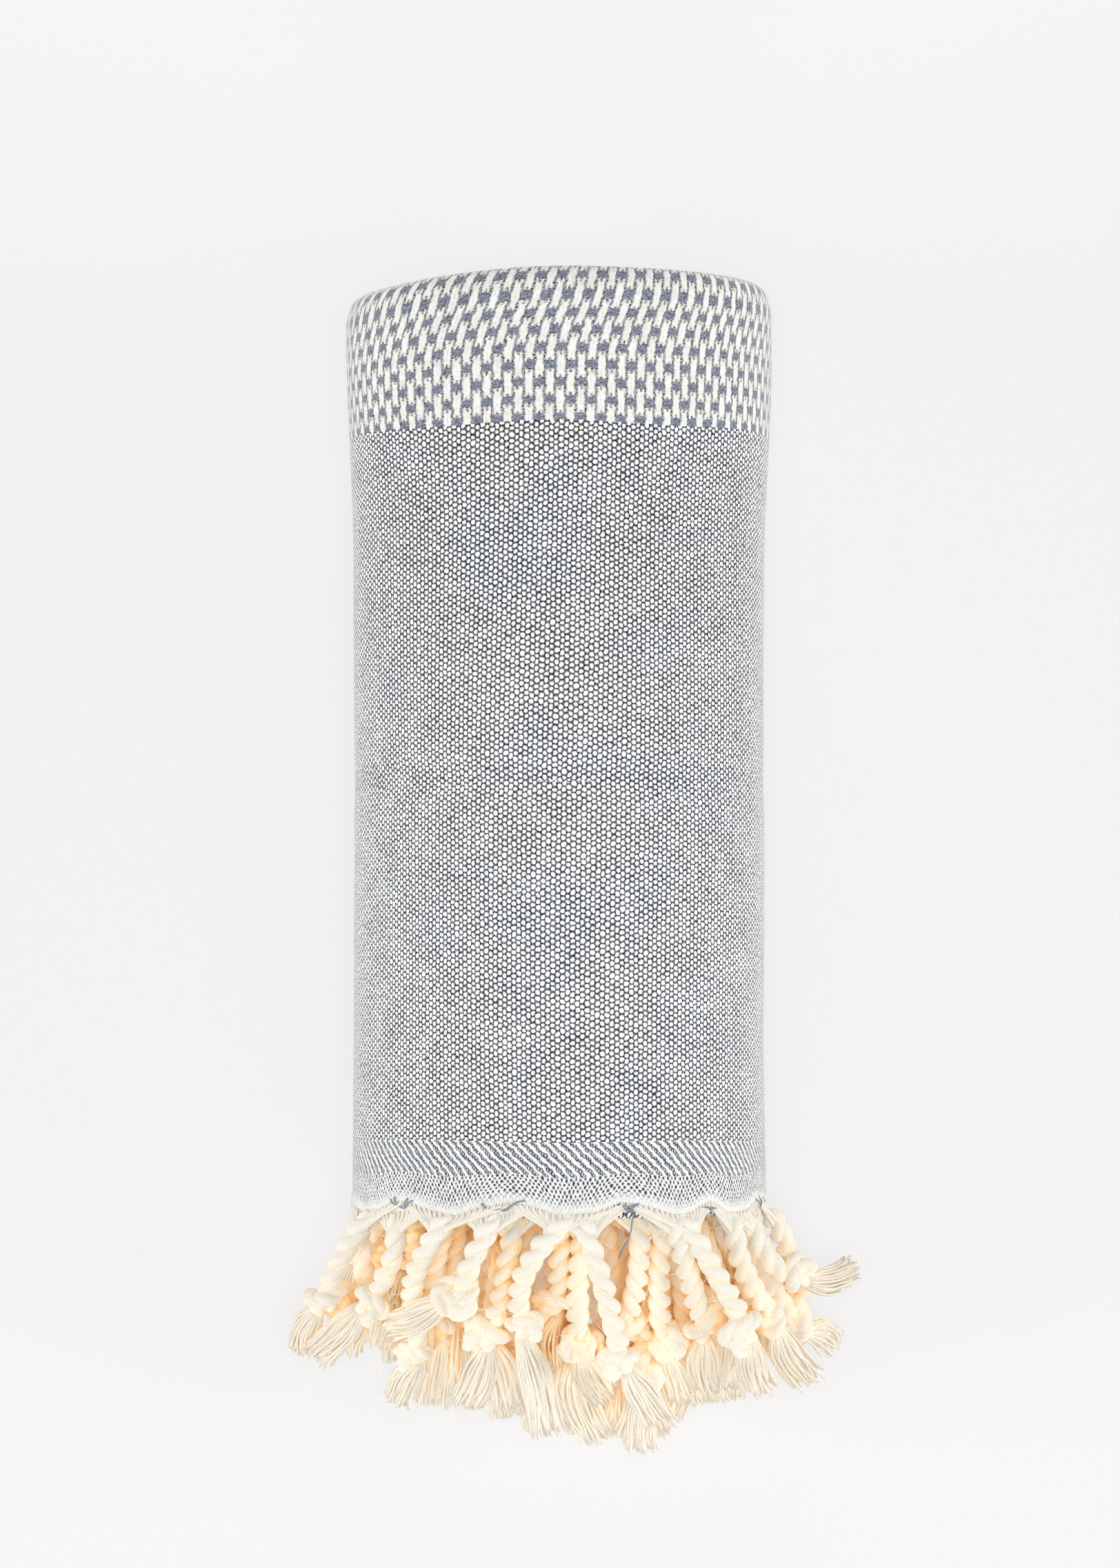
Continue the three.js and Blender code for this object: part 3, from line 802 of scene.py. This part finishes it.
def brushYarns(paths, firstTail):  # yarns side by side, wandering together, cut off nearly level
    count, yarns, rings = len(paths), fringe["tailYarns"], fringe["tailRings"]
    share = np.linspace(0, 1, rings)
    ends = zip(firstTail, lengthsAlong(paths)[:, -1])
    line = sampled(paths, [np.linspace(first, last, rings) for first, last in ends])
    heading = framesAlong(line)[0]
    level = unit(np.cross(np.array([0, 0, 1.0]), heading))
    raised = np.cross(heading, level)
    # spread like the seeds of a sunflower, and opened out below the knot
    order = np.arange(yarns) + 0.5
    spread = np.sqrt(order / yarns)[None, :] * dice.uniform(0.93, 1.05, (count, yarns))
    around = (order * 2.39996)[None, :] + dice.uniform(0, fullTurn, (count, 1))
    around = around + dice.uniform(-0.12, 0.12, (count, yarns))
    fullness = dice.uniform(0.85, 1.12, (count, 1, 1))
    opened = 0.34 + 0.66 * easeIn(share, -0.12, 0.42) - 0.10 * easeIn(share, 0.55, 1.0)
    sway = dice.uniform(-1, 1, (count, 1, 2)) * fringe["tailSway"] * np.sin(share * np.pi)[None, :, None]
    wander = dice.uniform(-1, 1, (count, yarns, 2))
    phase = dice.uniform(0, fullTurn, (count, yarns, 2))
    ripple = fringe["tailRipple"] * np.sin(share * 7 + phase[..., 0:1]) * share
    wide = (spread * np.cos(around))[..., None] * fringe["tailHalfWidth"] * fullness * opened
    wide = wide + wander[..., 0:1] * fringe["tailWander"][0] * share ** 3 + ripple + sway[:, None, :, 0]
    tall = (spread * np.sin(around))[..., None] * fringe["tailHalfDepth"] * (0.75 + 0.25 * opened)
    tall = tall + wander[..., 1:2] * fringe["tailWander"][1] * share ** 3 + ripple
    cutShare = dice.uniform(0.90, 1.0, (count, yarns))
    short = dice.uniform(0, 1, (count, yarns)) < fringe["shortShare"]  # a few yarns slipped short
    cutShare = np.where(short, cutShare * 0.8, cutShare)
    tails = np.empty((count, yarns, rings, 3))
    for t in range(count):
        for y in range(yarns):
            where = share * cutShare[t, y] * (rings - 1)
            middle, aside, up = (pointsAt(where, np.arange(rings), part[t]) for part in (line, level, raised))
            tails[t, y] = middle + aside * wide[t, y][:, None] + up * tall[t, y][:, None]
    radii = fringe["tailYarnRadius"] * dice.uniform(0.88, 1.12, (count, yarns, 1))
    return tails, radii * np.interp(share, [0, 0.92, 1], [1, 0.95, 0.55])


def hemFan(path, end, back):  # one tassel's warp ends, gathered from the hem into the cord
    here = np.interp(back, fineBack, outerLength)
    roots = rootLengths(end)
    slot = int(np.argmin(np.abs(roots - here)))
    before = (roots[slot] - roots[slot - 1]) / 2 if slot else 6.0
    after = (roots[slot + 1] - roots[slot]) / 2 if slot + 1 < len(roots) else 6.0
    place = np.linspace(-0.97, 0.97, fringe["fanYarns"])
    number = np.arange(fringe["fanYarns"])
    spot = here + np.where(place < 0, place * before, place * after)
    offset = hemOffset[end]
    backs, edge = hemLine(spot, end)
    begin = rollPoint(backs, offset, edge + 0.9)
    leave = rollPoint(backs, offset + 0.25 * np.cos(number * np.pi), edge - 0.9)
    reach = fringe["fanReach"]
    _, joint, beyond = sampled(path[None], [[0, reach, reach + 1.5]])[0]
    heading = unit(beyond - joint)
    side = unit(rollPoint(backs[-1], offset, fringeEnd) - rollPoint(backs[0], offset, fringeEnd))
    outward = np.cross(side, heading)
    disc = np.sin(number * 2.4) * 1.15
    target = joint + side * (place * 2.0)[:, None] * 0.9 + outward * disc[:, None] * 0.8
    second = leave + (target - leave) * 0.35 + np.array([0, -1.6, 0]) * (1 - np.abs(place))[:, None]
    third = target - heading * 2.6 + side * (place * 1.6)[:, None]
    f = np.linspace(0, 1, fringe["fanRings"])[None, :, None]
    curve = (1 - f) ** 3 * leave[:, None] + 3 * (1 - f) ** 2 * f * second[:, None]
    curve = curve + 3 * (1 - f) * f ** 2 * third[:, None] + f ** 3 * target[:, None]
    return np.concatenate([begin[:, None], curve], axis=1)


def joinedTubes(name, groups):  # groups: paths, radii, sides, line turns, line pitch
    points, quads, lids, corners, first = [], [], [], [], 0
    for group in groups:
        around, sides, ends, places = tubes(*group)
        table = 0.1 + 0.05 * np.cos(around[:, 0] * 5)  # nothing sinks into the table
        around[:, 2] = np.maximum(around[:, 2], table)
        points.append(around)
        quads.append(sides + first)
        lids += (ends + first).tolist()
        corners.append(places)
        first += len(around)
    corners.append(np.zeros((sum(map(len, lids)), 2)))
    faces = np.concatenate(quads).tolist() + lids
    made = meshObject(name, np.concatenate(points), faces, "yarn", np.concatenate(corners))
    made.data.polygons.foreach_set("use_smooth", np.ones(len(faces), bool))
    made.data.update()
    print(name, sum(len(face) - 2 for face in faces), "triangles")
    return made


# how far the heap shuts each point in: a grid's step, and the steps that light is followed over it
heap = {"step": 1.5, "reach": 12, "margin": 24, "start": 2.1, "fade": 0.6, "open": 0.5, "brushOpen": 0.13}


def lightRays():  # direction and how much it counts
    rays = [(0.0, 0.0, 1.0, 2.4)]
    for rise, weight in ((52, 1.0), (8, 1.0), (-40, 0.4)):
        level, up = math.cos(math.radians(rise)), math.sin(math.radians(rise))
        for a in np.radians(np.arange(6) * 60 + 30):
            rays.append((level * math.cos(a), level * math.sin(a), up, weight))
    return rays


def hiddenShare(pieces, around):  # from 0 in the open to 1 deep inside, kept as a point attribute
    clouds = []
    for piece in (*pieces, around):
        cloud = np.empty(len(piece.data.vertices) * 3)
        piece.data.vertices.foreach_get("co", cloud)
        clouds.append(cloud.reshape(-1, 3) / mm)
    clouds[-1] = clouds[-1][clouds[-1][:, 1] < fringeEnd + 14]
    step = heap["step"]
    everything = np.concatenate(clouds)
    low = everything.min(0) - heap["margin"]
    size = ((everything.max(0) + heap["margin"] - low) / step).astype(int) + 1
    full = np.zeros(size, np.float32)
    full[tuple(((everything - low) / step).astype(int).T)] = 1.0
    for axis in range(3):
        full = (np.roll(full, 1, axis) + 2 * full + np.roll(full, -1, axis)) / 4
    full = full.ravel()
    strides = np.array([size[1] * size[2], size[2], 1])
    rays = lightRays()
    for piece, cloud in zip(pieces, clouds):
        seen = np.zeros(len(cloud))
        for *way, weight in rays:
            met = np.zeros(len(cloud), np.float32)
            for k in range(heap["reach"]):
                spot = ((cloud + np.array(way) * (heap["start"] + k * step) - low) / step).astype(int)
                met += full[spot @ strides]
            seen += weight * np.exp(-heap["fade"] * met)
        values = 1 - seen / sum(ray[3] for ray in rays)
        # the gathered ends on the outside of the roll lie open to the light, and brushes let more through:
        # both get less painted shade
        up = (cloud[:, 2] - roll["axisHeight"]) / roll["heightShare"]
        fromAxis = np.hypot(cloud[:, 0] - roll["axisX"], up)
        fromHem = fringeEnd - cloud[:, 1]
        values = values - heap["open"] * easeIn(fromAxis, 41, 47) * (1 - easeIn(fromHem, 5, 14))
        values = values - heap["brushOpen"] * easeIn(fromHem, 24, 52)
        keepShare(piece, "hidden", values)


rows, chains = settledTassels()
print("tassels settled")
chainPaths = smoothPaths(chains)
knotAt = np.array([
    np.interp(fringe["knotPoint"] * 8.5, np.arange(len(along)), along) for along in lengthsAlong(chainPaths)
])
knotScale = 1.03 + 0.14 * dice.uniform(-1, 1, len(rows))
knotReach = fringe["knotHalf"] * fringe["knotCord"] * knotScale
lastCord = knotAt - knotReach
cordLines = knottedLines(chainPaths, lastCord, knotAt + knotReach, knotScale)
plies, plyRadii = twistedPlies(cordLines, lastCord, knotScale)
tails, tailRadii = brushYarns(chainPaths, knotAt + knotReach * 0.8)
fans = np.array([hemFan(path, end, back) for path, (end, _, back, _) in zip(chainPaths, rows)])
fanRadii = np.broadcast_to(np.linspace(0.72, 1.04, fans.shape[2]) * fringe["fanYarnRadius"], fans.shape[:3])
strands = (
    (plies, plyRadii, fringe["plySides"], 6), (tails, tailRadii, fringe["tailSides"], 2),
    (fans, fanRadii, fringe["yarnSides"], 2),
)
fringeNames = ("firstEndOuterTassels", "firstEndCoreTassels", "secondEndOuterTassels", "secondEndCoreTassels")
perPiece = len(rows) // len(fringeNames)
fringePieces = []
for part, name in enumerate(fringeNames):
    own = slice(part * perPiece, (part + 1) * perPiece)
    fringePieces.append(joinedTubes(name, [
        (paths[own].reshape(-1, paths.shape[2], 3), radii[own].reshape(-1, radii.shape[2]), sides, turns,
         fringe["linePitch"])
        for paths, radii, sides, turns in strands
    ]))
hiddenShare(fringePieces, towelPiece)

# undyed yarn with painted shade by how hidden a point is: whiter where it is open to the light, warm and
# darker deeper in; "line" is how dark the painted shade in the grooves between its threads is, and the glows
# are painted light that lifts the shade
yarn = {
    "shadeTones": ((0.2, "#E4DFD3"), (0.46, "#E3DBCB"), (0.68, "#EEE3CF"), (0.82, "#EDCC99"), (0.93, "#C08038")),
    "line": 0.92, "paintedGlow": (0.17, 0.30),
    "brushStart": 24, "brushFull": 44, "brushPaintedGlow": 0.235, "brushPaintedLight": 1.07,
    "sheen": "#FFF0DC", "stray": ("#F6EBD8", "#FFFAF0"), "strayPaintedGlow": 0.12,
}


def threadLines(add):  # 0.5 in the slanting line between two threads of a yarn, 0 on a thread's middle
    place = add("SeparateXYZ", [add("UVMap", uv_map="yarn")]).outputs
    return fromHalf(add, add("ADD", [place[0], place[1]]))


# undyed cotton, loosely spun: soft and matte, with painted shade that turns warm and darker where the light
# has come through other yarns, and a painted glow that lifts it
def spunCotton():
    material, add = newMaterial("spunCotton")
    place = add("TexCoord").outputs["Object"]
    groove = add("MapRange SMOOTHSTEP", [threadLines(add), 0.5, 0.28])
    fuzz = add("TexNoise", {"Vector": place, "Scale": 2600.0, "Detail": 3.0})
    patch = add("TexNoise", {"Vector": place, "Scale": 90.0, "Detail": 2.0})
    # painted shade: the colour follows how hidden a point is in the heap, varied in soft patches, from pale
    # in the open to warm brown deep inside
    hidden = add("Attribute", attribute_name="hidden").outputs["Fac"]
    hidden = add("MULTIPLY_ADD", [patch, 0.16, add("SUBTRACT", [hidden, 0.08])])
    shadeTint = add("ValToRGB", [hidden], stops=yarn["shadeTones"])
    # the brushes at the far end are thin and let more light through: painted as a lighter colour and a
    # stronger painted glow
    brushFrom, brushTo = ((fringeEnd - yarn[out]) * mm for out in ("brushStart", "brushFull"))
    brush = add("MapRange", [add("SeparateXYZ", [place]).outputs[1], brushFrom, brushTo, 0.0, 1.0])
    # painted shade in the grooves between the threads of a yarn, and a little random fuzz
    light = add("MapRange", [groove, 0.0, 1.0, yarn["line"], 1.0])
    light = add("MULTIPLY", [light, add("MapRange", [fuzz, 0.3, 0.7, 0.92, 1.03])])
    light = add("MULTIPLY", [light, add("MapRange", [brush, 0.0, 1.0, 1.0, yarn["brushPaintedLight"]])])
    colour = add("Mix RGBA", [1.0, shadeTint, light], blend_type="MULTIPLY")
    # painted glow: emission that lifts the shade, stronger the more hidden a point is, and in the brushes
    paintedGlow = add("MapRange", [hidden, 0.35, 0.88, *yarn["paintedGlow"]])
    paintedGlow = add("MAXIMUM", [paintedGlow, add("MULTIPLY", [brush, yarn["brushPaintedGlow"]])])
    relief = add("MULTIPLY_ADD", [fuzz, 1.6, groove])
    add("OutputMaterial", [add("BsdfPrincipled", {
        "Base Color": colour, "Roughness": 0.95, "Specular IOR Level": 0.2,
        "Normal": add("Bump", {"Strength": 0.5, "Distance": 0.05 * mm, "Height": relief}),
        "Sheen Weight": 0.5, "Sheen Roughness": 0.5, "Sheen Tint": yarn["sheen"],
        "Emission Color": colour, "Emission Strength": paintedGlow,
    })])
    return material


spun = spunCotton()
for piece in fringePieces:
    piece.data.materials.append(spun)
print("fringe made")

# short hairs that stand off the cords and brushes, thinner than a yarn
stray = {"perTassel": 22, "onCords": 0.7, "rings": 5, "sides": 3, "radius": 0.10, "length": (2.5, 7.5)}


def strayPaths():
    share = np.linspace(0, 1, stray["rings"])[:, None]
    paths = []
    for t in range(len(plies)):
        for n in range(stray["perTassel"]):
            if n < stray["perTassel"] * stray["onCords"]:
                host, radius = plies[t, n % 2], plyRadii[t, n % 2].mean()
                i = int(dice.integers(8, host.shape[0] - 10))
            else:
                host, radius = tails[t, int(dice.integers(0, fringe["tailYarns"]))], fringe["tailYarnRadius"]
                i = int(dice.integers(2, host.shape[0] - 1))
            ahead = unit(host[i] - host[i - 1])
            out = unit(np.cross(ahead, dice.normal(0, 1, 3)))
            aside = np.cross(ahead, out)
            long = dice.uniform(*stray["length"])
            rise, curl = dice.uniform(0.15, 0.5), dice.uniform(-0.35, 0.35)
            bent = ahead * share * dice.choice([-1, 1]) + out * rise * share ** 0.8
            paths.append(host[i] + out * radius * 0.9 + long * (bent + aside * curl * share ** 2))
    return np.array(paths)


# single cotton fibres: pale, with a painted glow for light coming through them, so the cords look soft at
# their edges
def looseFibre():
    material, add = newMaterial("looseFibre")
    patch = add("TexNoise", {"Vector": add("TexCoord").outputs["Object"], "Scale": 300.0, "Detail": 1.0})
    colour = add("Mix RGBA", [patch, *yarn["stray"]])
    add("OutputMaterial", [add("BsdfPrincipled", {
        "Base Color": colour, "Roughness": 0.9, "Specular IOR Level": 0.2,
        "Emission Color": colour, "Emission Strength": yarn["strayPaintedGlow"],
    })])
    return material


hairs = strayPaths()
strayRadii = np.broadcast_to(stray["radius"] * np.linspace(1, 0.6, stray["rings"]), hairs.shape[:2])
strayPiece = joinedTubes("strayFibres", [(hairs, strayRadii, stray["sides"], 1, 1.0)])
strayPiece.data.materials.append(looseFibre())
print("stray fibres made")

# slate thread pulled out of the last rows, in the gaps between two tassels
weftEnd = {
    "radius": 0.21, "sides": 5, "rings": 26, "sag": 1.9, "halfWidth": 3.6, "hanging": (-2.5, -11.0, -3.0),
    "linePitch": 0.6, "slate": ("#5C606C", "#9A9FAA"),
}


def weftLoops(end):  # two or three loops in each gap, the later ones hanging less
    roots = rootLengths(end)
    f = np.linspace(0, 1, weftEnd["rings"])
    loops = []
    for n in range(len(roots) - 1):
        middle = (roots[n] + roots[n + 1]) / 2 + 1.5 * scatter(n, 21)
        for k in range(3 if scatter(n, 22) > 0.1 else 2):
            width = weftEnd["halfWidth"] + 1.6 * scatter(n + 7 * k, 23)
            sag = weftEnd["sag"] * (1 + 0.5 * scatter(n + 7 * k, 24)) * (1, 0.45, 0.15)[k]
            spot = middle + (f - 0.5) * 2 * width + 0.5 * np.sin(f * 9 + n)
            backs, edge = hemLine(spot, end)
            depth = sag + 1.2 + 0.5 * scatter(n, 25) * np.cos(f * 4)
            along = edge + 0.7 - depth * np.sin(np.pi * f) ** 0.8
            loops.append(rollPoint(backs, hemOffset[end] + 0.5 + 0.4 * np.sin(f * 7 + n), along))
    return loops


def hangingWeft():
    f = np.linspace(0, 1, weftEnd["rings"])[:, None]
    start = rollPoint(180.0, halfStack + 0.3, fringeEnd - 0.5)
    return start + f * np.array(weftEnd["hanging"]) + np.array([1.0, 0, 0]) * np.sin(f * 5) * f


# dyed cotton, spun hard and thin: a dark thread against the soft cream ones
def slateThread():
    material, add = newMaterial("slateThread")
    # painted shade: the thread is darker in the slanting grooves of its twist
    groove = add("MapRange", [threadLines(add), 0.5, 0.2])
    add("OutputMaterial", [add("BsdfPrincipled", {
        "Base Color": add("Mix RGBA", [groove, *weftEnd["slate"]]), "Roughness": 0.9,
        "Normal": add("Bump", {"Strength": 0.6, "Distance": 0.08 * mm, "Height": groove}),
        "Sheen Weight": 0.3, "Specular IOR Level": 0.2,
    })])
    return material


weftPaths = np.array([*weftLoops("outer"), *weftLoops("inner"), hangingWeft()])
weftRadii = np.full(weftPaths.shape[:2], weftEnd["radius"])
weftPiece = joinedTubes("weftEnds", [(weftPaths, weftRadii, weftEnd["sides"], 2, weftEnd["linePitch"])])
weftPiece.data.materials.append(slateThread())
print("weft ends made")

# a pale paper sweep in a soft tent; the lit backdrop evens out the paper's own shading by "paperGlow"
studio = {
    "floorSize": 12, "paper": ("#F2F2F2", "#F4F4F4"), "paperGlow": 0.74, "tent": "#FFFFFF", "tentLight": 0.30,
    "backdrop": "#F2F2F2",
}
lamps = (  # name, place, what it points at, size and power
    ("topLamp", (0.0, -0.1, 2.4), (0, -0.02, 0), 0.7, 20.5),
    ("leftLamp", (-1.9, -0.5, 0.9), (0, -0.02, 0.03), 1.2, 21.6),
    ("rightLamp", (1.9, -0.3, 0.9), (0, -0.02, 0.03), 1.2, 21.6),
    ("frontLamp", (0.1, -2.0, 0.8), (0, -0.12, 0.03), 1.2, 9.0),
    ("backLamp", (0.1, 2.0, 0.8), (0, 0.1, 0.05), 1.2, 6.0),
)


def seenDirectly(add):  # 1 for what the camera sees by itself, in a gloss or through glass
    rays = add("LightPath").outputs
    seen = add("MAXIMUM", [rays["Is Camera Ray"], rays["Is Glossy Ray"]])
    return add("MAXIMUM", [seen, rays["Is Transmission Ray"]])


# uncoated paper: pale and without shine, its grain only just there
def paperSweep():
    material, add = newMaterial("paperSweep")
    grain = add("TexNoise", {"Vector": add("TexCoord").outputs["Object"], "Scale": 900.0})
    paper = add("Mix RGBA", [grain, *studio["paper"]])
    lit = add("MULTIPLY", [seenDirectly(add), studio["paperGlow"]])
    plain, bright = add("BsdfDiffuse", {"Color": paper}), add("Emission", [paper, 1.0])
    add("OutputMaterial", [add("MixShader", [lit, plain, bright])])
    return material


def lightTent():
    world = bpy.data.worlds.new("tent")
    bpy.context.scene.world = world
    world.use_nodes = True
    world.node_tree.nodes.clear()
    add = functools.partial(addNode, world.node_tree)
    lit = add("Background", [studio["tent"], studio["tentLight"]])
    shown = add("Background", [studio["backdrop"], 1.0])
    add("OutputWorld", [add("MixShader", [seenDirectly(add), lit, shown])])


def softLamp(name, place, target, size, power):
    turn = (Vector(target) - Vector(place)).to_track_quat("-Z", "Y").to_euler()
    bpy.ops.object.light_add(type="AREA", location=place, rotation=turn)
    lamp = bpy.context.object
    lamp.name = name
    lamp.data.shape = "DISK"
    lamp.data.size = size
    lamp.data.energy = power


bpy.ops.object.select_all(action="DESELECT")
bpy.ops.mesh.primitive_plane_add(size=studio["floorSize"], location=(0, 0, 0))
floor = bpy.context.object
floor.name = "floor"
floor.data.materials.append(paperSweep())
lightTent()
for lamp in lamps:
    softLamp(*lamp)
bpy.context.scene.view_settings.view_transform = "Standard"
print("studio set")

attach(towelPiece, "root")
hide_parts("towel")
for piece in fringePieces + [strayPiece]:
    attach(piece, "root")
    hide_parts("fringe")
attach(weftPiece, "root")
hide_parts("fringe")
